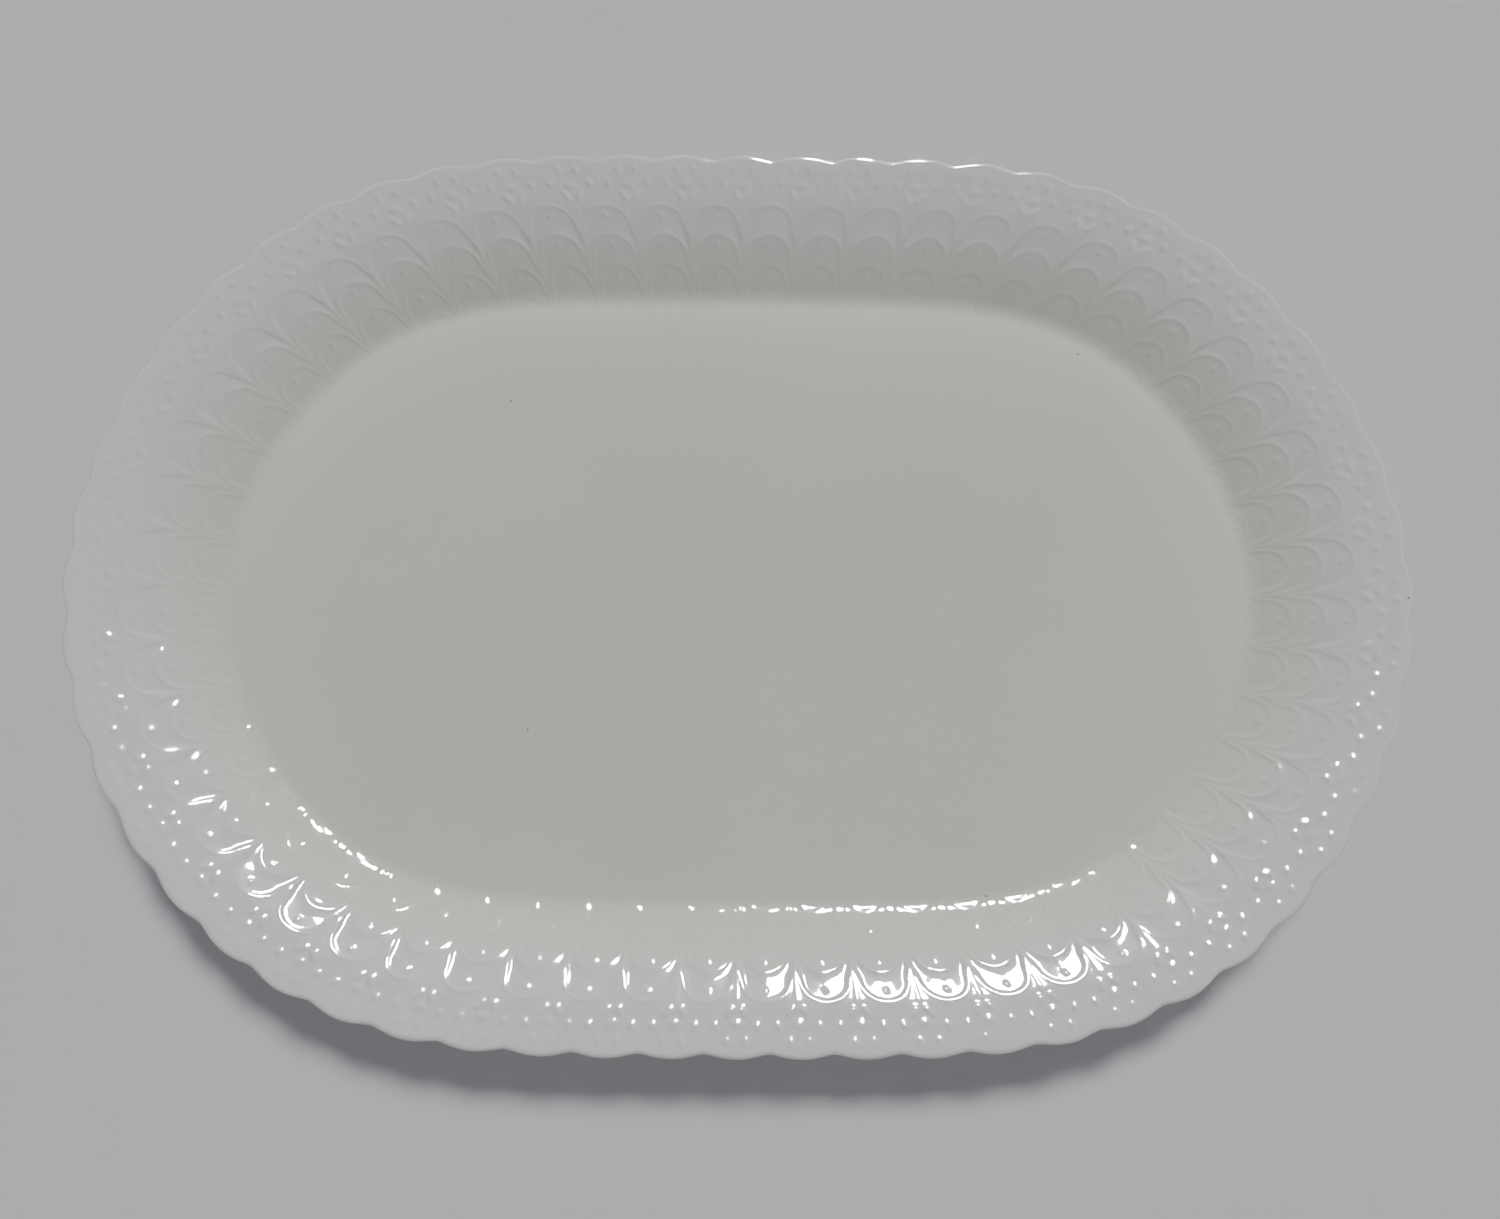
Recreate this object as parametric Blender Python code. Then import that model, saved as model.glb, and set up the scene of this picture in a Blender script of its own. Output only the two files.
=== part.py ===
"""China serving platter: one fired bone-china oval with a scalloped rim, a sloping border and a flat well.

The platter lies flat on its foot ring. The origin is on the ground under its middle, X is its long
axis, Y its short axis and Z points up. All lengths are in metres and all angles in radians.
"""

import math

import bmesh
import bpy
import numpy as np

# Plan of the rim, measured in the notches between the scallops
RIM_HALF_LENGTH = 0.1770
RIM_HALF_WIDTH = 0.1193
RIM_FULLNESS = 0.00175
RIM_SHOULDER = 0.00048
STATION_SHIFTS = (-0.063, 0.017, -0.006)

# Scallops around the rim
SCALLOPS = 56
POINTS_PER_SCALLOP = 4
SCALLOP_DEPTH = 0.0013
SCALLOP_SOFTNESS = 0.18
SCALLOP_FADE = 0.009

# Heights
BORDER_DROP = 0.0035
SLOPE_DROP = 0.0120
FOOT_HEIGHT = 0.0045
EDGE_THICKNESS = 0.0030
EDGE_FLAT = 0.0012
BODY_THICKNESS = 0.0042
WELL_HEIGHT = FOOT_HEIGHT + BODY_THICKNESS
PLATTER_HEIGHT = WELL_HEIGHT + SLOPE_DROP + BORDER_DROP

# Distances inwards from the rim, in plan
EDGE_ROUNDING = 0.0012
BORDER_WIDTH = 0.0120
WELL_INSET = 0.0340
CORNER_RADIUS = 0.0040
FOOT_INSET = 0.0410
FOOT_TOP_WIDTH = 0.0060
FOOT_FACE_WIDTH = 0.0024

# Leaf-shaped scoops that run down the slope, one below each notch
SCOOP_DEPTH = 0.0004

# Fineness and shading of the mesh
OUTLINE_POINTS = SCALLOPS * POINTS_PER_SCALLOP
FINE_STEPS = 8
SLOPE_RINGS = 4
CORNER_FILL = 0.25
SHARP_ANGLE = math.radians(35)


def rim_oval(stations):
    """Points of the smooth rim oval; stations crowd together where the scallops are narrower."""
    angles = np.array(stations, dtype=float)
    for order, shift in enumerate(STATION_SHIFTS, start=1):
        angles += shift * np.sin(2 * order * stations)
    mean = (RIM_HALF_LENGTH + RIM_HALF_WIDTH) / 2 + RIM_FULLNESS - RIM_SHOULDER
    stretch = (RIM_HALF_LENGTH - RIM_HALF_WIDTH) / 2
    radii = mean + stretch * np.cos(2 * angles)
    radii += RIM_SHOULDER * np.cos(8 * angles) - RIM_FULLNESS * np.cos(4 * angles)
    return np.stack((radii * np.cos(angles), radii * np.sin(angles)), axis=1)


def inward_normals(outline):
    """Unit vectors that point into a counter-clockwise outline."""
    along = np.roll(outline, -1, axis=0) - np.roll(outline, 1, axis=0)
    along /= np.linalg.norm(along, axis=1, keepdims=True)
    return np.stack((-along[:, 1], along[:, 0]), axis=1)


def evenly_spaced(outline, count):
    """Points spaced evenly along a closed outline, starting at its first point."""
    closed = np.vstack((outline, outline[:1]))
    steps = np.linalg.norm(np.diff(closed, axis=0), axis=1)
    travelled = np.concatenate(([0.0], np.cumsum(steps)))
    wanted = np.linspace(0.0, travelled[-1], count, endpoint=False)
    return np.stack([np.interp(wanted, travelled, closed[:, axis]) for axis in (0, 1)], axis=1)


def scallop_wave(stations):
    """1 on the crown of each scallop and 0 in the notches between them."""
    swing = np.sqrt(np.cos(SCALLOPS * stations / 2) ** 2 + SCALLOP_SOFTNESS ** 2)
    return (swing - SCALLOP_SOFTNESS) / (math.sqrt(1 + SCALLOP_SOFTNESS ** 2) - SCALLOP_SOFTNESS)


def smooth_step(value):
    """0 below 0, 1 above 1, and an even curve between."""
    value = min(max(value, 0.0), 1.0)
    return value * value * (3 - 2 * value)


class Plan:
    """The platter seen from above: where a ring at a given distance inside the rim lies."""

    def __init__(self):
        stations = np.linspace(0.0, 2 * math.pi, OUTLINE_POINTS, endpoint=False)
        fine = np.linspace(0.0, 2 * math.pi, OUTLINE_POINTS * FINE_STEPS, endpoint=False)
        fine_oval = rim_oval(fine)
        self.rim = rim_oval(stations)
        self.rim_inward = inward_normals(self.rim)
        self.wave = scallop_wave(stations)
        fine_well = fine_oval + WELL_INSET * inward_normals(fine_oval)
        self.well = evenly_spaced(fine_well, OUTLINE_POINTS)
        self.well_inward = inward_normals(self.well)

    def ring(self, inset):
        """Plan points of the ring that lies inset inside the rim."""
        if inset > WELL_INSET:
            return self.well + (inset - WELL_INSET) * self.well_inward
        points = self.rim + (self.well - self.rim) * inset / WELL_INSET
        bulge = SCALLOP_DEPTH * (1 - smooth_step(inset / SCALLOP_FADE)) * self.wave
        return points - bulge[:, None] * self.rim_inward


def slope_height(inset):
    """Height of the upper face on the border and on the straight slope below it."""
    if inset <= BORDER_WIDTH:
        return PLATTER_HEIGHT - BORDER_DROP * inset / BORDER_WIDTH
    share = (inset - BORDER_WIDTH) / (WELL_INSET - BORDER_WIDTH)
    return PLATTER_HEIGHT - BORDER_DROP - SLOPE_DROP * share


def scoop_strength(inset):
    """How deep the leaf scoops are at a distance inside the rim: none at both ends of the slope."""
    share = (inset - BORDER_WIDTH) / (WELL_INSET - BORDER_WIDTH)
    if share <= 0 or share >= 1:
        return 0.0
    return math.sin(math.pi * share)


def upper_profile():
    """(inset, height) of each ring of the upper face, from the rim to the edge of the well floor."""
    slope_end = WELL_INSET - CORNER_RADIUS
    insets = [EDGE_ROUNDING, BORDER_WIDTH / 2]
    insets += list(np.linspace(BORDER_WIDTH, slope_end, SLOPE_RINGS))
    rings = [(inset, slope_height(inset)) for inset in insets]
    corner_height = WELL_HEIGHT + CORNER_FILL * (slope_height(slope_end) - WELL_HEIGHT)
    rings.append((WELL_INSET, corner_height))
    rings.append((WELL_INSET + CORNER_RADIUS, WELL_HEIGHT))
    return rings


def lower_profile():
    """(inset, height) of each ring of the underside, from the foot ring out to the rim."""
    base = FOOT_HEIGHT
    foot_start = FOOT_INSET - FOOT_TOP_WIDTH / 2
    face_start = FOOT_INSET - FOOT_FACE_WIDTH / 2
    face_end = FOOT_INSET + FOOT_FACE_WIDTH / 2
    foot_end = FOOT_INSET + FOOT_TOP_WIDTH / 2
    rings = [(foot_end, base), (face_end, 0.0), (face_start, 0.0), (foot_start, base)]
    for inset in (WELL_INSET - CORNER_RADIUS, BORDER_WIDTH):
        rings.append((inset, slope_height(inset) - BODY_THICKNESS))
    rings.append((EDGE_ROUNDING, slope_height(EDGE_ROUNDING) - EDGE_THICKNESS))
    return rings


def edge_profile():
    """(inset, height) of the two rings that round the rim's edge, lower one first."""
    middle = PLATTER_HEIGHT - EDGE_THICKNESS / 2
    return [(0.0, middle - EDGE_FLAT / 2), (0.0, middle + EDGE_FLAT / 2)]


def add_ring(mesh, plan, inset, height, scooped):
    """One closed ring of vertices."""
    points = plan.ring(inset)
    depth = SCOOP_DEPTH * scoop_strength(inset) * (1 - plan.wave) if scooped else np.zeros(len(points))
    return [mesh.verts.new((x, y, height - dip)) for (x, y), dip in zip(points, depth)]


def bridge(mesh, first, second):
    """A band of quadrilaterals between two rings."""
    count = len(first)
    for index in range(count):
        after = (index + 1) % count
        mesh.faces.new((first[index], first[after], second[after], second[index]))


def platter_mesh(plan):
    """The closed shell: underside, foot ring, edge, border, slope and well floor."""
    mesh = bmesh.new()
    rings = [add_ring(mesh, plan, inset, height, False) for inset, height in lower_profile()]
    rings += [add_ring(mesh, plan, inset, height, False) for inset, height in edge_profile()]
    rings += [add_ring(mesh, plan, inset, height, True) for inset, height in upper_profile()]
    for lower, upper in zip(rings, rings[1:]):
        bridge(mesh, lower, upper)
    mesh.faces.new(list(reversed(rings[0])))
    mesh.faces.new(rings[-1])
    bmesh.ops.recalc_face_normals(mesh, faces=mesh.faces)
    result = bpy.data.meshes.new("platter_body")
    mesh.to_mesh(result)
    mesh.free()
    return result


def china_material():
    """White glazed bone china."""
    material = bpy.data.materials.new("bone_china")
    material.use_nodes = True
    shader = material.node_tree.nodes["Principled BSDF"]
    shader.inputs["Base Color"].default_value = (0.80, 0.80, 0.79, 1.0)
    shader.inputs["Roughness"].default_value = 0.12
    shader.inputs["Metallic"].default_value = 0.0
    return material


def main():
    for leftover in list(bpy.data.objects):
        bpy.data.objects.remove(leftover, do_unlink=True)
    platter = bpy.data.objects.new("platter_body", platter_mesh(Plan()))
    platter.data.materials.append(china_material())
    platter.data.shade_smooth()
    platter.data.set_sharp_from_angle(angle=SHARP_ANGLE)
    bpy.context.scene.collection.objects.link(platter)


main()
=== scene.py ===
"""Looks of the china serving platter: its moulded, glazed body, a plain pale floor, soft studio light
and a camera that looks down on it.

Lengths are in metres unless a name ends in _MM; the relief is drawn in millimetres, as a modeller would.
"""

import math

import bpy
import numpy as np
from mathutils import Euler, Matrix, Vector


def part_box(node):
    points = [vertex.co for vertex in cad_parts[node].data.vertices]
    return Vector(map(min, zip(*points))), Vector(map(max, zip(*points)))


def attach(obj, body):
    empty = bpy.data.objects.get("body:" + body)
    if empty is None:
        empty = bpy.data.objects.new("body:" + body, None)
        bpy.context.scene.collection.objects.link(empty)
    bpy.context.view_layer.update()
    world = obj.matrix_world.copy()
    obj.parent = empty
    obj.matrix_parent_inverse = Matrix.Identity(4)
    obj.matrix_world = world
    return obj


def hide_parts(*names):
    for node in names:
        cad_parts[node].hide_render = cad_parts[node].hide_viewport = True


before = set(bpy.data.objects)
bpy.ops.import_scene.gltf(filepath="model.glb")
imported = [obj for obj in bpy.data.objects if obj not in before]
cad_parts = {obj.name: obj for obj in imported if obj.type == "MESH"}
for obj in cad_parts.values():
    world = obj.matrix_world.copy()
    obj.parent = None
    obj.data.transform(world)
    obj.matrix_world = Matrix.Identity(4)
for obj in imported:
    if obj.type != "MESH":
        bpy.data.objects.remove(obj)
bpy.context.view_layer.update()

NODE = "platter_body"
MM = 0.001

# Plan of the rim
SCALLOPS = 56
SCALLOP_DEPTH = 1.3 * MM
SCALLOP_SOFTNESS = 0.18
SCALLOP_FADE = 9.0 * MM
SCALLOP_LIFT = 0.25 * MM
BOX_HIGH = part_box(NODE)[1]
RIM_HALF_LENGTH = BOX_HIGH[0] - SCALLOP_DEPTH
RIM_HALF_WIDTH = BOX_HIGH[1] - SCALLOP_DEPTH
RIM_FULLNESS = 1.75 * MM
RIM_SHOULDER = 0.48 * MM
STATION_SHIFTS = (-0.063, 0.017, -0.006)

# Section of the body: heights, distances inwards from the rim, and how steeply it falls on the way.
# The section starts a little above the CAD box, and the rounded edge brings it down.
WELL_HEIGHT = 8.7 * MM
WELL_INSET = 34.0 * MM
FALL_INSETS_MM = (2.5, 4.5, 10.6, 13.4, 18.6, 22.0, 32.2, 37.4)
FALLS = (0.17, 0.265, 0.265, 0.425, 0.425, 0.64, 0.64, 0.0)
SECTION_POINTS = 801
EDGE_RADIUS = 1.35 * MM
EDGE_STEPS = 15
RIM_HEIGHT = BOX_HIGH[2] + 0.45 * MM
BODY_THICKNESS = 4.2 * MM

# Underside: the edge thickens to the full wall, which runs down to the foot ring and the recessed base
THICKENING_INSETS_MM = (3.0, 5.0, 7.5, 10.0)
THICKENING_END = 12.0 * MM
WALL_START = 12.5 * MM
WALL_END_GAP = 1.5 * MM
WALL_STEPS = 12
FOOT_HEIGHT = 4.5 * MM
FOOT_INSET = 41.0 * MM
FOOT_TOP_WIDTH = 6.0 * MM
FOOT_FACE_WIDTH = 2.4 * MM
FOOT_ROUNDING = 0.5 * MM
BARE_BELOW = 0.4 * FOOT_ROUNDING
BASE_INSET = 48.0 * MM

# Fineness of the mesh: points in each scallop, where the relief is, where it isn't, and on the flat
FINE = 48
MIDDLE = 12
COARSE = 4
RELIEF_STEP = 0.34 * MM
RELIEF_END = 40.0 * MM
DEEP_INSET = 60.0 * MM
FLOOR_STEP = 2.5 * MM
FLOOR_END_GAP = 1.0 * MM
FLOOR_SHARES = ((0.12, COARSE), (0.3, COARSE), (0.5, COARSE), (0.7, COARSE), (0.86, MIDDLE))
BASE_SHARES = (0.7, 0.4, 0.12)
UNDER_FINE_END = 8.0 * MM

# The flattened skin: the length that the underside takes on it, where it lies, and the margin around it
UNDER_LENGTH = 46.0 * MM
UNDER_CENTRE = np.array((0.0, -0.27))
SKIN_MARGIN = 0.01

# Width of one scallop's share of the border, at the rim and at the well
RIM_PITCH_MM = 17.0
WELL_PITCH_MM = 13.7

# Nested arches below each notch: their spacing, their outline, and the thin ridge along it
ARCH_COUNT = 4
ARCH_FIRST_MM = 12.2
ARCH_STEP_MM = 7.1
ARCH_HALF_SHARE = 0.41
ARCH_ROUND_MM = 5.2
ARCH_ROUND_POINTS = 14
ARCH_LEG_MM = 6.0
ARCH_LEG_START_MM = 0.5
ARCH_LEG_POINTS = 10
ARCH_LEG_WEAKENING = 0.8
ARCH_LEG_FADE_MM = 1.5
ARCH_RIDGE_MM = 0.075
ARCH_RIDGE_HALF_MM = 0.42
ARCH_INNER_BLEND_MM = 1.1
ARCH_END_MM = 36.5
ARCH_END_FADE_MM = 3.0
LAST_ARCH_WEIGHT = 0.5

# Dished leaves between the arches, and the stems between the columns of leaves
LEAF_DISH_MM = 0.11
LEAF_DISH_EDGE_MM = 1.3
LEAF_DISH_REACH_MM = 4.0
LEAF_LEG_FLATTENING = 0.7
LEAF_END_MM = 33.0
LEAF_END_FADE_MM = 5.0
STEM_RIDGE_MM = 0.045
STEM_HALF_MM = 0.6
STEM_START_MM = 9.8
STEM_START_FADE_MM = 1.5

# Outermost leaf, which stands proud at its crown like a petal
PETAL_RISE_MM = 0.12
PETAL_LENGTH_MM = 4.2
PETAL_WINGS_MM = 8.0
PETAL_FALL = 0.045
PETAL_RETURN_MM = 4.0

# Bead in each arch
BEAD_BELOW_ARCH_MM = 2.8
BEAD_RADIUS_MM = 1.2
BEAD_RISE_MM = 0.15

# Flower on each crown: beads as (distance from its middle, inset, radius, rise), a bar and two petals
FLOWER_BEADS_MM = ((2.4, 3.9, 1.4, 0.24), (5.5, 6.9, 1.5, 0.27))
FLOWER_BAR_INSET_MM = 7.4
FLOWER_BAR_HALF_WIDTH_MM = 2.6
FLOWER_BAR_HALF_LENGTH_MM = 1.5
FLOWER_BAR_RISE_MM = 0.27
FLOWER_PETAL_LINE_MM = ((2.2, 9.5), (1.4, 10.6))
FLOWER_PETAL_RADIUS_MM = 1.4
FLOWER_PETAL_RISE_MM = 0.25

# Unevenness of a pressed and fired body, as waves: radians per metre along X and Y, phase, millimetres
WARP_WAVES = ((31, 17, 0.4, 0.025), (-22, 47, 1.9, 0.015), (68, -39, 3.1, 0.010))
MOULD_WAVES = (
    (230, 310, 0.8, 0.018),
    (-390, 170, 2.2, 0.018),
    (290, -430, 4.1, 0.013),
    (560, 90, 1.3, 0.010),
)
MOULD_END = 30.0 * MM
MOULD_END_FADE = 8.0 * MM

# Colours: each pair is the two ends of a slight cloudiness
# The glaze pair is blended by height. The well's colour is greener where the glaze pools, and it is also
# darker as painted shade in the well. The rim's colour is paler as painted light.
WELL_GLAZE_WITH_PAINTED_SHADE = ((0.735, 0.740, 0.662), (0.760, 0.765, 0.692))
RIM_GLAZE_WITH_PAINTED_LIGHT = ((0.868, 0.861, 0.828), (0.883, 0.875, 0.848))
GROUND_CLAY = ((0.70, 0.69, 0.66), (0.80, 0.79, 0.76))
FLOOR_GREY = ((0.77, 0.77, 0.79), (0.79, 0.79, 0.81))
PATTERN_LOW = 0.3
PATTERN_HIGH = 0.7
SPECK_COLOUR = (0.20, 0.16, 0.12)
SPECK_CELLS_PER_METRE = 9.0
SPECK_RADIUS = 0.40 * MM
SPECK_STRENGTH = 0.8

# Floor, lights and surroundings
FLOOR_HALF = 3.0
KEY_DIRECTION = (0.12, 0.61, 0.785)
KEY_STRENGTH = 1.84
KEY_ANGLE = math.radians(12)
LAMP_PLACE = (0.45, 2.36, 3.20)
LAMP_SIZE = (0.44, 0.62)
LAMP_POWER = 2200.0
WALLS_DIRECTION = (0.2, -0.75, -0.63)
WALLS_LOW = 0.11
WALLS_HIGH = 0.42
HALO_START = 0.90
HALO_HIGH = 0.3
SURROUNDINGS_COLOUR = (0.95, 0.96, 1.0, 1.0)

# Camera
CAMERA_PLACE = (0.0009, -0.0464, 0.3301)
CAMERA_TURN_DEGREES = (7.40, -0.385, 0.404)
SENSOR_WIDTH_MM = 36.0
FOCAL_LENGTH_MM = 28.18
CLIP_START = 0.01


def smooth_step(value):
    """0 below 0, 1 above 1, and an even curve between."""
    value = np.clip(value, 0.0, 1.0)
    return value * value * (3 - 2 * value)


def fade_out(value, start, length):
    """1 up to start, 0 from start + length on, and an even curve between."""
    return 1 - smooth_step((value - start) / length)


# ---------------------------------------------------------------- plan of the platter

def rim_oval(stations):
    """Points of the smooth rim oval; stations crowd together where the scallops are narrower."""
    angles = np.array(stations, dtype=float)
    for order, shift in enumerate(STATION_SHIFTS, start=1):
        angles += shift * np.sin(2 * order * stations)
    mean = (RIM_HALF_LENGTH + RIM_HALF_WIDTH) / 2 + RIM_FULLNESS - RIM_SHOULDER
    stretch = (RIM_HALF_LENGTH - RIM_HALF_WIDTH) / 2
    radii = mean + stretch * np.cos(2 * angles)
    radii += RIM_SHOULDER * np.cos(8 * angles) - RIM_FULLNESS * np.cos(4 * angles)
    return np.stack((radii * np.cos(angles), radii * np.sin(angles)), axis=1)


def inward_normals(outline):
    """Unit vectors that point into a counter-clockwise outline."""
    along = np.roll(outline, -1, axis=0) - np.roll(outline, 1, axis=0)
    along /= np.linalg.norm(along, axis=1, keepdims=True)
    return np.stack((-along[:, 1], along[:, 0]), axis=1)


def evenly_spaced(outline, count):
    """Points spaced evenly along a closed outline, starting at its first point."""
    closed = np.vstack((outline, outline[:1]))
    steps = np.linalg.norm(np.diff(closed, axis=0), axis=1)
    travelled = np.concatenate(([0.0], np.cumsum(steps)))
    wanted = np.linspace(0.0, travelled[-1], count, endpoint=False)
    return np.stack([np.interp(wanted, travelled, closed[:, axis]) for axis in (0, 1)], axis=1)


STATIONS = np.linspace(0.0, 2 * math.pi, SCALLOPS * FINE, endpoint=False)
RIM = rim_oval(STATIONS)
RIM_INWARD = inward_normals(RIM)
WELL = evenly_spaced(RIM + WELL_INSET * RIM_INWARD, len(STATIONS))
WELL_INWARD = inward_normals(WELL)


def scallop_wave():
    """1 on the crown of each scallop and 0 in the notches between them."""
    swing = np.sqrt(np.cos(SCALLOPS * STATIONS / 2) ** 2 + SCALLOP_SOFTNESS ** 2)
    return (swing - SCALLOP_SOFTNESS) / (math.sqrt(1 + SCALLOP_SOFTNESS ** 2) - SCALLOP_SOFTNESS)


WAVE = scallop_wave()


def plan_ring(inset):
    """Plan points of the ring that lies inset inside the rim."""
    if inset > WELL_INSET:
        return WELL + (inset - WELL_INSET) * WELL_INWARD
    points = RIM + (WELL - RIM) * inset / WELL_INSET
    bulge = SCALLOP_DEPTH * fade_out(inset, 0.0, SCALLOP_FADE) * WAVE
    return points - bulge[:, None] * RIM_INWARD


# ---------------------------------------------------------------- section of the platter

def fall(inset):
    """How steeply the upper face falls towards the well."""
    return np.interp(inset / MM, FALL_INSETS_MM, FALLS)


SECTION_INSETS = np.linspace(0.0, RELIEF_END, SECTION_POINTS)
SECTION_FALL = fall(SECTION_INSETS)
SECTION_DROP = np.concatenate(([0.0], np.cumsum((SECTION_FALL[1:] + SECTION_FALL[:-1]) / 2)))
SECTION_DROP *= SECTION_INSETS[1]
DROP_SCALE = (RIM_HEIGHT - WELL_HEIGHT) / SECTION_DROP[-1]


def upper_height(inset):
    """Height of the upper face, without its relief."""
    return RIM_HEIGHT - DROP_SCALE * np.interp(inset, SECTION_INSETS, SECTION_DROP)


def upper_tilt(inset):
    """Angle of the upper face from level."""
    return math.atan(DROP_SCALE * fall(inset))


def scallop_lift(inset):
    """How far the crowns of the scallops are raised above the notches."""
    return SCALLOP_LIFT * WAVE * fade_out(inset, 0.0, SCALLOP_FADE)


# ---------------------------------------------------------------- relief of one scallop

def bump(distance, radius):
    """A round bump: 1 in the middle and 0 beyond its radius."""
    return np.where(distance < radius, np.cos(np.pi / 2 * np.minimum(distance / radius, 1)) ** 2, 0.0)


def distance_to_path(across, inset, path):
    """Distance from each point of the grid to a path of straight steps."""
    nearest = np.full(across.shape, np.inf)
    for (x0, y0), (x1, y1) in zip(path, path[1:]):
        step = max((x1 - x0) ** 2 + (y1 - y0) ** 2, 1e-9)
        share = np.clip(((across - x0) * (x1 - x0) + (inset - y0) * (y1 - y0)) / step, 0, 1)
        distance = np.hypot(across - x0 - share * (x1 - x0), inset - y0 - share * (y1 - y0))
        nearest = np.minimum(nearest, distance)
    return nearest


def pitch_mm(inset):
    """Width of one scallop's share of the border, which narrows towards the well."""
    return RIM_PITCH_MM + (WELL_PITCH_MM - RIM_PITCH_MM) * inset / (WELL_INSET / MM)


def arch_half_share(below):
    """Half width of an arch, as a share of the pitch, at a distance below its crown."""
    from_centre = (ARCH_ROUND_MM - below) / ARCH_ROUND_MM
    rounded = np.sqrt(np.clip(1 - from_centre ** 2, 0, 1)) * ARCH_HALF_SHARE
    down_leg = np.clip((below - ARCH_ROUND_MM) / ARCH_LEG_MM, 0, 1)
    leg = ARCH_HALF_SHARE + (0.5 - ARCH_HALF_SHARE) * down_leg
    return np.where(below < ARCH_ROUND_MM, rounded, leg)


def arch_outline(crown):
    """One side of an arch, as steps of (across, inset): its rounded top and its leg."""
    turn = np.linspace(0, math.pi / 2, ARCH_ROUND_POINTS)
    leg = np.linspace(ARCH_LEG_START_MM, ARCH_LEG_MM, ARCH_LEG_POINTS)
    below = np.concatenate((ARCH_ROUND_MM * (1 - np.cos(turn)), ARCH_ROUND_MM + leg))
    half = arch_half_share(below) * pitch_mm(crown + below)
    return list(zip(half, crown + below))


def arch(across, inset, share, crown):
    """Ridge of one arch, 1 inside the arch, and the distance from its outline."""
    near = distance_to_path(np.abs(across), inset, arch_outline(crown))
    depth = inset - crown
    strength = 1 - ARCH_LEG_WEAKENING * smooth_step((depth - ARCH_ROUND_MM) / ARCH_LEG_MM)
    strength *= fade_out(depth, ARCH_ROUND_MM + ARCH_LEG_MM - ARCH_LEG_FADE_MM, ARCH_LEG_FADE_MM)
    ridge = np.exp(-(near / ARCH_RIDGE_HALF_MM) ** 2) * strength
    within = (np.abs(share) < arch_half_share(depth)) & (depth > 0)
    signed = np.where(within, near, -near)
    inside = smooth_step(0.5 + signed / ARCH_INNER_BLEND_MM)
    return ridge, inside, near


def petal(share, depth):
    """Extra height inside the outermost arch: proud at its crown, sinking to its end, then level again.

    The petal reaches further in at its sides than in its middle.
    """
    length = PETAL_LENGTH_MM + PETAL_WINGS_MM * np.abs(share)
    sunk = PETAL_RISE_MM - PETAL_FALL * np.minimum(depth, length)
    return sunk * fade_out(depth, length, PETAL_RETURN_MM)


def leaf_dish(near, depth):
    """Share of a leaf's dish: none on the arch's outline, most a little inside it, less down the leg."""
    dish = smooth_step(near / LEAF_DISH_EDGE_MM) * np.exp(-(near / LEAF_DISH_REACH_MM) ** 2)
    return dish * (1 - LEAF_LEG_FLATTENING * smooth_step((depth - ARCH_ROUND_MM) / ARCH_LEG_MM))


def leaf_column(share, inset):
    """The nested arches below one notch, with a bead in each, over dished leaves."""
    across = share * pitch_mm(inset)
    height = np.zeros(across.shape)
    leaf_fade = fade_out(inset, LEAF_END_MM, LEAF_END_FADE_MM)
    arch_fade = fade_out(inset, ARCH_END_MM, ARCH_END_FADE_MM)
    crowns = [ARCH_FIRST_MM + number * ARCH_STEP_MM for number in range(ARCH_COUNT)]
    shapes = [arch(across, inset, share, crown) for crown in crowns]
    for number, (crown, (ridge, inside, near)) in enumerate(zip(crowns, shapes)):
        last = number == ARCH_COUNT - 1
        weight = LAST_ARCH_WEIGHT if last else 1.0
        leaf = inside if last else inside * (1 - shapes[number + 1][1])
        height -= leaf * leaf_dish(near, inset - crown) * LEAF_DISH_MM * weight * leaf_fade
        if number == 0:
            height += leaf * petal(share, inset - crown)
        height += ridge * ARCH_RIDGE_MM * weight * arch_fade
        bead = np.hypot(across, inset - crown - BEAD_BELOW_ARCH_MM)
        height += bump(bead, BEAD_RADIUS_MM) * BEAD_RISE_MM * weight
    return height


def flower_motif(share, inset):
    """Four beads, a bar and two oval petals on the crown of one scallop, alike on both sides."""
    across = np.abs(share * pitch_mm(inset))
    height = np.zeros(across.shape)
    for from_middle, bead_inset, radius, rise in FLOWER_BEADS_MM:
        height += bump(np.hypot(across - from_middle, inset - bead_inset), radius) * rise
    bar_depth = (inset - FLOWER_BAR_INSET_MM) / FLOWER_BAR_HALF_LENGTH_MM
    height += bump(np.hypot(across / FLOWER_BAR_HALF_WIDTH_MM, bar_depth), 1.0) * FLOWER_BAR_RISE_MM
    petals = distance_to_path(across, inset, FLOWER_PETAL_LINE_MM)
    height += bump(petals, FLOWER_PETAL_RADIUS_MM) * FLOWER_PETAL_RISE_MM
    return height


def stem(share, inset):
    """The thin stem between two leaf columns."""
    across = np.abs(share * pitch_mm(inset))
    length = smooth_step((inset - STEM_START_MM) / STEM_START_FADE_MM)
    length *= fade_out(inset, LEAF_END_MM, LEAF_END_FADE_MM)
    return np.exp(-(across / STEM_HALF_MM) ** 2) * STEM_RIDGE_MM * length


def relief(insets):
    """Height of the relief, in metres, on rings at these insets: one row for each ring."""
    share = np.arange(FINE) / FINE
    from_crown = np.where(share > 0.5, share - 1, share)
    from_notch = share - 0.5
    inset = np.asarray(insets)[:, None] / MM + np.zeros(FINE)
    tile = leaf_column(from_notch + np.zeros_like(inset), inset)
    tile += flower_motif(from_crown + np.zeros_like(inset), inset)
    tile += stem(from_crown + np.zeros_like(inset), inset)
    return np.tile(tile, (1, SCALLOPS)) * MM


# ---------------------------------------------------------------- the body's mesh

def ripple(points, waves):
    """Slight unevenness: a sum of waves, each one to three hundredths of a millimetre high."""
    x, y = points[:, 0], points[:, 1]
    return MM * sum(size * np.sin(kx * x + ky * y + phase) for kx, ky, phase, size in waves)


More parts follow.
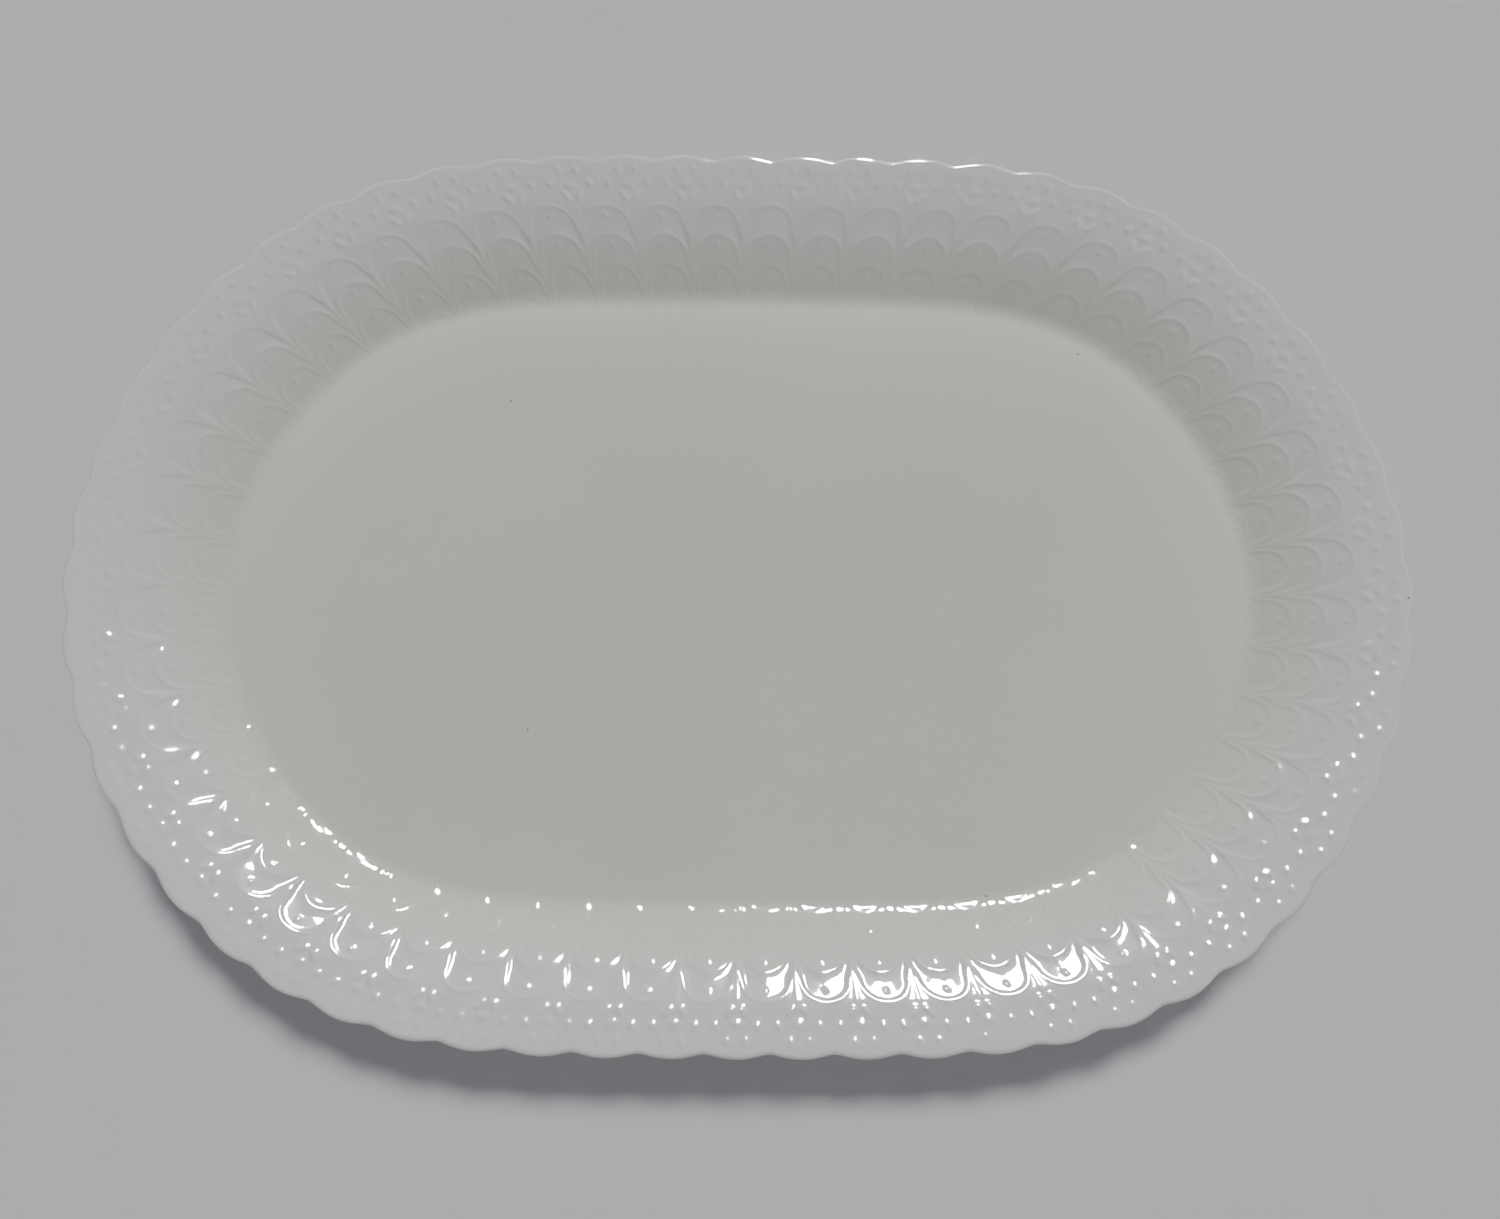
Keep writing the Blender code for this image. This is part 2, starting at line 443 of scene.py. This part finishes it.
class Rings:
    """Rings of points from the middle of the well, over the rim, to the middle of the underside."""

    def __init__(self):
        self.points, self.flat = [], []

    def add(self, plan, heights, unrolled, per_scallop):
        """One ring: its plan, its heights, where it lies on the flattened skin, and its fineness."""
        stride = FINE // per_scallop
        heights = np.broadcast_to(heights, len(plan))
        self.points.append(np.column_stack((plan, heights))[::stride])
        self.flat.append(unrolled[::stride])


def floor_rings(rings):
    """The well's flat floor, from the middle outwards."""
    deep = plan_ring(DEEP_INSET)
    for share, fineness in FLOOR_SHARES:
        plan = deep * share
        rings.add(plan, WELL_HEIGHT + ripple(plan, WARP_WAVES), plan, fineness)
    for inset in np.arange(DEEP_INSET, RELIEF_END + FLOOR_END_GAP, -FLOOR_STEP):
        plan = plan_ring(inset)
        rings.add(plan, WELL_HEIGHT + ripple(plan, WARP_WAVES), plan, MIDDLE)


def border_rings(rings):
    """The bank and the border with their relief, outwards; gives the length of skin up to the edge."""
    insets = np.arange(RELIEF_END, EDGE_RADIUS, -RELIEF_STEP)
    skin = skin_lengths(insets)
    for inset, rise, travelled in zip(insets, relief(insets), skin):
        tilt = upper_tilt(inset)
        plan = plan_ring(inset)
        inward = WELL_INWARD if inset > WELL_INSET else RIM_INWARD
        mould = ripple(plan, MOULD_WAVES) * fade_out(inset, MOULD_END, MOULD_END_FADE)
        uneven = ripple(plan, WARP_WAVES) + mould
        height = upper_height(inset) + scallop_lift(inset) + uneven + rise * math.cos(tilt)
        unrolled = plan if inset > WELL_INSET else WELL - travelled * WELL_INWARD
        rings.add(plan + (rise * math.sin(tilt))[:, None] * inward, height, unrolled, FINE)
    return skin[-1]


def skin_lengths(insets):
    """Length along the upper face from the well's corner out to each inset."""
    heights = np.array([upper_height(inset) for inset in insets])
    steps = np.hypot(np.diff(insets), np.diff(heights))
    travelled = np.concatenate(([0.0], np.cumsum(steps)))
    return travelled - np.interp(-WELL_INSET, -insets, travelled)


def edge_rings(rings, travelled):
    """The rounded edge, from the border round to the underside; gives the height of its lowest side."""
    middle = upper_height(EDGE_RADIUS) - EDGE_RADIUS
    angles = np.linspace(math.pi / 2 - upper_tilt(EDGE_RADIUS) / 2, -math.pi / 2, EDGE_STEPS)
    for angle in angles:
        inset = EDGE_RADIUS * (1 - math.cos(angle))
        height = middle + EDGE_RADIUS * math.sin(angle)
        if angle > 0:
            unrolled = WELL - (travelled + EDGE_RADIUS * (angles[0] - angle)) * WELL_INWARD
        else:
            unrolled = under_skin(EDGE_RADIUS * (angle + math.pi / 2) + UNDER_LENGTH)
        rings.add(plan_ring(max(inset, 0.0)), height + scallop_lift(inset), unrolled, FINE)
    return middle - EDGE_RADIUS


def under_skin(travelled):
    """Where a ring of the underside lies on the flattened skin, by its distance from the foot ring."""
    inner = WELL + (FOOT_INSET + FOOT_TOP_WIDTH / 2 - WELL_INSET) * WELL_INWARD
    return inner - travelled * WELL_INWARD + UNDER_CENTRE


def under_section(edge_low):
    """(inset, height) down the underside, from the rim to the inner side of the foot ring."""
    section = []
    edge_thickness = upper_height(EDGE_RADIUS) - edge_low
    for inset in np.array(THICKENING_INSETS_MM) * MM:
        share = smooth_step(inset / THICKENING_END)
        thickness = edge_thickness * (1 - share) + BODY_THICKNESS * share
        section.append((inset, upper_height(inset) - thickness))
    foot_start = FOOT_INSET - FOOT_TOP_WIDTH / 2
    for inset in np.linspace(WALL_START, foot_start - WALL_END_GAP, WALL_STEPS):
        section.append((inset, max(upper_height(inset) - BODY_THICKNESS, FOOT_HEIGHT)))
    return section + foot_section()


def foot_section():
    """(inset, height) around the foot ring, with leaning sides, rounded shoulders and a rounded face."""
    outer, inner = FOOT_INSET - FOOT_TOP_WIDTH / 2, FOOT_INSET + FOOT_TOP_WIDTH / 2
    face_outer, face_inner = FOOT_INSET - FOOT_FACE_WIDTH / 2, FOOT_INSET + FOOT_FACE_WIDTH / 2
    wall = (face_outer - outer) / FOOT_HEIGHT
    low = FOOT_ROUNDING
    return [
        (outer - 0.3 * MM, FOOT_HEIGHT * 1.02),
        (outer + 0.25 * MM, FOOT_HEIGHT * 0.93),
        (outer + wall * FOOT_HEIGHT * 0.5, FOOT_HEIGHT * 0.5),
        (face_outer - wall * low, low),
        (face_outer - wall * low * 0.3 + 0.05 * MM, low * 0.3),
        (face_outer + 0.3 * MM, 0.0),
        (face_inner - 0.3 * MM, 0.0),
        (face_inner + wall * low * 0.3 - 0.05 * MM, low * 0.3),
        (face_inner + wall * low, low),
        (inner - wall * FOOT_HEIGHT * 0.5, FOOT_HEIGHT * 0.5),
        (inner - 0.25 * MM, FOOT_HEIGHT * 0.93),
        (inner + 0.3 * MM, FOOT_HEIGHT),
    ]


def lower_rings(rings, edge_low):
    """Underside, foot ring and recessed base, from the rim inwards."""
    section = under_section(edge_low)
    steps = np.hypot(*np.diff(np.array(section), axis=0).T)
    left = np.concatenate((np.cumsum(steps[::-1])[::-1], [0.0]))
    for (inset, height), travelled in zip(section, left):
        fineness = FINE if inset < UNDER_FINE_END else MIDDLE
        rings.add(plan_ring(inset), height, under_skin(travelled * UNDER_LENGTH / left[0]), fineness)
    for inset in (BASE_INSET, DEEP_INSET):
        plan = plan_ring(inset)
        rings.add(plan, FOOT_HEIGHT, plan + UNDER_CENTRE, MIDDLE)
    for share in BASE_SHARES:
        plan = plan_ring(DEEP_INSET) * share
        rings.add(plan, FOOT_HEIGHT, plan + UNDER_CENTRE, COARSE)


def faces_between(first, first_count, second, second_count):
    """Faces that join two rings, whose point counts may differ by a whole factor."""
    if first_count == second_count:
        here = np.arange(first_count)
        after = (here + 1) % first_count
        return np.stack((first + here, second + here, second + after, first + after), axis=1)
    joined = []
    if first_count < second_count:
        ratio = second_count // first_count
        for j in range(first_count):
            span = [second + (j * ratio + k) % second_count for k in range(ratio + 1)]
            joined.append([first + j] + span + [first + (j + 1) % first_count])
    else:
        ratio = first_count // second_count
        for j in range(second_count):
            span = [first + (j * ratio + k) % first_count for k in range(ratio, 0, -1)]
            joined.append([first + j * ratio, second + j, second + (j + 1) % second_count] + span)
    return np.array(joined)


def skin_to_uv(flat):
    """The flattened skin, upper face above and underside below, fitted into the unit square."""
    low, high = flat.min(axis=0), flat.max(axis=0)
    return (flat - low) / (high - low).max() * (1 - 2 * SKIN_MARGIN) + SKIN_MARGIN


def platter_mesh():
    """The whole body as one closed mesh, with its flattened skin as a UV map."""
    rings = Rings()
    floor_rings(rings)
    travelled = border_rings(rings)
    edge_low = edge_rings(rings, travelled)
    lower_rings(rings, edge_low)
    counts = [len(points) for points in rings.points]
    starts = np.concatenate(([0], np.cumsum(counts)))
    groups = [np.arange(counts[0])[None, :]]
    for number in range(len(counts) - 1):
        first, second = starts[number], starts[number + 1]
        groups.append(faces_between(first, counts[number], second, counts[number + 1]))
    groups.append((starts[-2] + np.arange(counts[-1]))[::-1][None, :])
    corners = np.concatenate([group.ravel() for group in groups]).astype(np.int32)
    sizes = np.concatenate([np.full(len(group), group.shape[1]) for group in groups])
    face_starts = np.concatenate(([0], np.cumsum(sizes)[:-1])).astype(np.int32)
    points = np.concatenate(rings.points)
    mesh = bpy.data.meshes.new("platter")
    mesh.vertices.add(len(points))
    mesh.vertices.foreach_set("co", points.ravel())
    mesh.loops.add(len(corners))
    mesh.loops.foreach_set("vertex_index", corners)
    mesh.polygons.add(len(sizes))
    mesh.polygons.foreach_set("loop_start", face_starts)
    mesh.polygons.foreach_set("use_smooth", np.ones(len(sizes), dtype=bool))
    unwrap = mesh.uv_layers.new(name="OFBake")
    unwrap.uv.foreach_set("vector", skin_to_uv(np.concatenate(rings.flat))[corners].ravel())
    low = points[:, 2] < BARE_BELOW
    bare = np.logical_and.reduceat(low[corners], face_starts)
    mesh.polygons.foreach_set("material_index", bare.astype(np.int32))
    mesh.update(calc_edges=True)
    mesh.validate()
    return mesh


# ---------------------------------------------------------------- materials

def new_material(name):
    """A new node material, its nodes, its links and its Principled shader."""
    material = bpy.data.materials.new(name)
    material.use_nodes = True
    nodes = material.node_tree.nodes
    return material, nodes, material.node_tree.links, nodes["Principled BSDF"]


def object_place(nodes):
    """Each point's place in the object's own coordinates."""
    return nodes.new("ShaderNodeTexCoord").outputs["Object"]


def noise(nodes, links, scale, detail, roughness=0.5):
    """A noise pattern in the object's own coordinates."""
    pattern = nodes.new("ShaderNodeTexNoise")
    pattern.inputs["Scale"].default_value = scale
    pattern.inputs["Detail"].default_value = detail
    pattern.inputs["Roughness"].default_value = roughness
    links.new(object_place(nodes), pattern.inputs["Vector"])
    return pattern.outputs["Fac"]


def map_range(nodes, links, value, source, target, curve="LINEAR"):
    """Maps a value from one range, as (start, end), onto another."""
    ramp = nodes.new("ShaderNodeMapRange")
    ramp.interpolation_type = curve
    ramp.inputs["From Min"].default_value, ramp.inputs["From Max"].default_value = source
    ramp.inputs["To Min"].default_value, ramp.inputs["To Max"].default_value = target
    links.new(value, ramp.inputs["Value"])
    return ramp.outputs["Result"]


def spread(nodes, links, value, low, high):
    """Maps a pattern's middle range onto low to high."""
    return map_range(nodes, links, value, (PATTERN_LOW, PATTERN_HIGH), (low, high))


def mix_colours(nodes, links, value, first, second):
    """A colour between two, chosen by a pattern; each of them is a colour or another node's output."""
    mix = nodes.new("ShaderNodeMix")
    mix.data_type = "RGBA"
    links.new(value, mix.inputs["Factor"])
    for name, colour in (("A", first), ("B", second)):
        if isinstance(colour, tuple):
            mix.inputs[name].default_value = (*colour, 1.0)
        else:
            links.new(colour, mix.inputs[name])
    return mix.outputs["Result"]


def bumpy(nodes, links, value, distance, strength):
    """A bump from a pattern."""
    node = nodes.new("ShaderNodeBump")
    node.inputs["Distance"].default_value = distance
    node.inputs["Strength"].default_value = strength
    links.new(value, node.inputs["Height"])
    return node.outputs["Normal"]


def specks(nodes, links):
    """A few iron specks in the glaze, seen from above: strong in the middle of each and 0 around it."""
    cells = nodes.new("ShaderNodeTexVoronoi")
    cells.voronoi_dimensions = "2D"
    cells.inputs["Scale"].default_value = SPECK_CELLS_PER_METRE
    links.new(object_place(nodes), cells.inputs["Vector"])
    edge = SPECK_RADIUS * SPECK_CELLS_PER_METRE
    return map_range(nodes, links, cells.outputs["Distance"], (edge, 0.5 * edge), (0.0, SPECK_STRENGTH))


def up_the_bank(nodes, links):
    """0 on the well floor and 1 at the rim, by height."""
    axes = nodes.new("ShaderNodeSeparateXYZ")
    links.new(object_place(nodes), axes.inputs["Vector"])
    return map_range(nodes, links, axes.outputs["Z"], (WELL_HEIGHT, RIM_HEIGHT), (0.0, 1.0))


def glazed_china():
    """White bone china under a clear, slightly uneven glaze that looks greener where it pools, with
    painted shade that darkens the well and painted light that brightens the rim.
    """
    material, nodes, links, shader = new_material("glazed_bone_china")
    clouds = spread(nodes, links, noise(nodes, links, scale=14, detail=3), 0, 1)
    deep = mix_colours(nodes, links, clouds, *WELL_GLAZE_WITH_PAINTED_SHADE)
    thin = mix_colours(nodes, links, clouds, *RIM_GLAZE_WITH_PAINTED_LIGHT)
    # Painted shade and light: the colour runs by height from the darker well glaze to the paler rim
    # glaze.
    glaze = mix_colours(nodes, links, up_the_bank(nodes, links), deep, thin)
    spotted = mix_colours(nodes, links, specks(nodes, links), glaze, SPECK_COLOUR)
    rough = spread(nodes, links, noise(nodes, links, scale=60, detail=4), 0.16, 0.24)
    grain = noise(nodes, links, scale=220, detail=2)
    links.new(spotted, shader.inputs["Base Color"])
    links.new(rough, shader.inputs["Roughness"])
    links.new(bumpy(nodes, links, grain, distance=0.00004, strength=0.35), shader.inputs["Normal"])
    # The clear coat carries the highlights, and the china under it has almost none of its own
    shader.inputs["Specular IOR Level"].default_value = 0.005
    shader.inputs["Coat Weight"].default_value = 1.0
    shader.inputs["Coat Roughness"].default_value = 0.022
    shader.inputs["Coat IOR"].default_value = 1.5
    return material


def bare_foot():
    """The foot ring's ground, unglazed face."""
    material, nodes, links, shader = new_material("unglazed_foot")
    grain = spread(nodes, links, noise(nodes, links, scale=900, detail=6, roughness=0.6), 0, 1)
    rough = spread(nodes, links, noise(nodes, links, scale=400, detail=4), 0.65, 0.85)
    links.new(mix_colours(nodes, links, grain, *GROUND_CLAY), shader.inputs["Base Color"])
    links.new(rough, shader.inputs["Roughness"])
    links.new(bumpy(nodes, links, grain, distance=0.0001, strength=0.6), shader.inputs["Normal"])
    return material


def pale_floor():
    """A plain matt grey board."""
    material, nodes, links, shader = new_material("pale_floor")
    grain = spread(nodes, links, noise(nodes, links, scale=5, detail=3), 0, 1)
    links.new(mix_colours(nodes, links, grain, *FLOOR_GREY), shader.inputs["Base Color"])
    shader.inputs["Roughness"].default_value = 0.8
    shader.inputs["Specular IOR Level"].default_value = 0.0
    return material


# ---------------------------------------------------------------- pieces, floor, light and camera

def add_object(name, data):
    """A new object in the scene."""
    holder = bpy.data.objects.new(name, data)
    bpy.context.scene.collection.objects.link(holder)
    return holder


def add_platter():
    """The glazed body, which stands for the CAD solid."""
    mesh = platter_mesh()
    mesh.materials.append(glazed_china())
    mesh.materials.append(bare_foot())
    piece = add_object("platter", mesh)
    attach(piece, "root")
    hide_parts(NODE)


def add_floor():
    """A plain pale floor under the platter."""
    half = FLOOR_HALF
    corners = [(-half, -half, 0), (half, -half, 0), (half, half, 0), (-half, half, 0)]
    mesh = bpy.data.meshes.new("floor")
    mesh.from_pydata(corners, [], [(0, 1, 2, 3)])
    mesh.materials.append(pale_floor())
    add_object("floor", mesh)


def add_key():
    """A soft sun from beyond the far side, for shading and shadow; the glaze doesn't mirror it."""
    sun = bpy.data.lights.new("key", "SUN")
    sun.energy = KEY_STRENGTH
    sun.angle = KEY_ANGLE
    key = add_object("key", sun)
    key.rotation_euler = Vector(KEY_DIRECTION).to_track_quat("Z", "Y").to_euler()
    key.visible_glossy = False


def add_glint():
    """An oval lamp in the same direction as the sun, which shows only as highlights in the glaze."""
    lamp = bpy.data.lights.new("glint", "AREA")
    lamp.shape = "ELLIPSE"
    lamp.size, lamp.size_y = LAMP_SIZE
    lamp.energy = LAMP_POWER
    glint = add_object("glint", lamp)
    glint.location = LAMP_PLACE
    glint.rotation_euler = (-Vector(LAMP_PLACE)).to_track_quat("-Z", "Y").to_euler()
    glint.visible_diffuse = False


def facing(nodes, links, direction):
    """How nearly each direction around the scene agrees with a given one, from -1 to 1."""
    agreement = nodes.new("ShaderNodeVectorMath")
    agreement.operation = "DOT_PRODUCT"
    agreement.inputs[1].default_value = direction
    links.new(nodes.new("ShaderNodeTexCoord").outputs["Generated"], agreement.inputs[0])
    return agreement.outputs["Value"]


def add_surroundings():
    """Pale surroundings, brightest towards the near side and below, with a weak halo around the lamp."""
    world = bpy.data.worlds.new("surroundings")
    world.use_nodes = True
    nodes, links = world.node_tree.nodes, world.node_tree.links
    towards_walls = facing(nodes, links, WALLS_DIRECTION)
    walls = map_range(nodes, links, towards_walls, (-1.0, 1.0), (WALLS_LOW, WALLS_HIGH))
    towards_lamp = facing(nodes, links, Vector(LAMP_PLACE).normalized())
    halo = map_range(nodes, links, towards_lamp, (HALO_START, 1.0), (0.0, HALO_HIGH), "SMOOTHSTEP")
    total = nodes.new("ShaderNodeMath")
    links.new(walls, total.inputs[0])
    links.new(halo, total.inputs[1])
    links.new(total.outputs["Value"], nodes["Background"].inputs["Strength"])
    nodes["Background"].inputs["Color"].default_value = SURROUNDINGS_COLOUR
    bpy.context.scene.world = world


def add_camera():
    """A wide-angle camera above the platter, tilted a little towards its far side."""
    lens = bpy.data.cameras.new("camera")
    lens.sensor_width = SENSOR_WIDTH_MM
    lens.lens = FOCAL_LENGTH_MM
    lens.clip_start = CLIP_START
    camera = add_object("camera", lens)
    camera.location = CAMERA_PLACE
    camera.rotation_euler = Euler([math.radians(turn) for turn in CAMERA_TURN_DEGREES])
    bpy.context.scene.camera = camera


add_platter()
add_floor()
add_key()
add_glint()
add_surroundings()
add_camera()
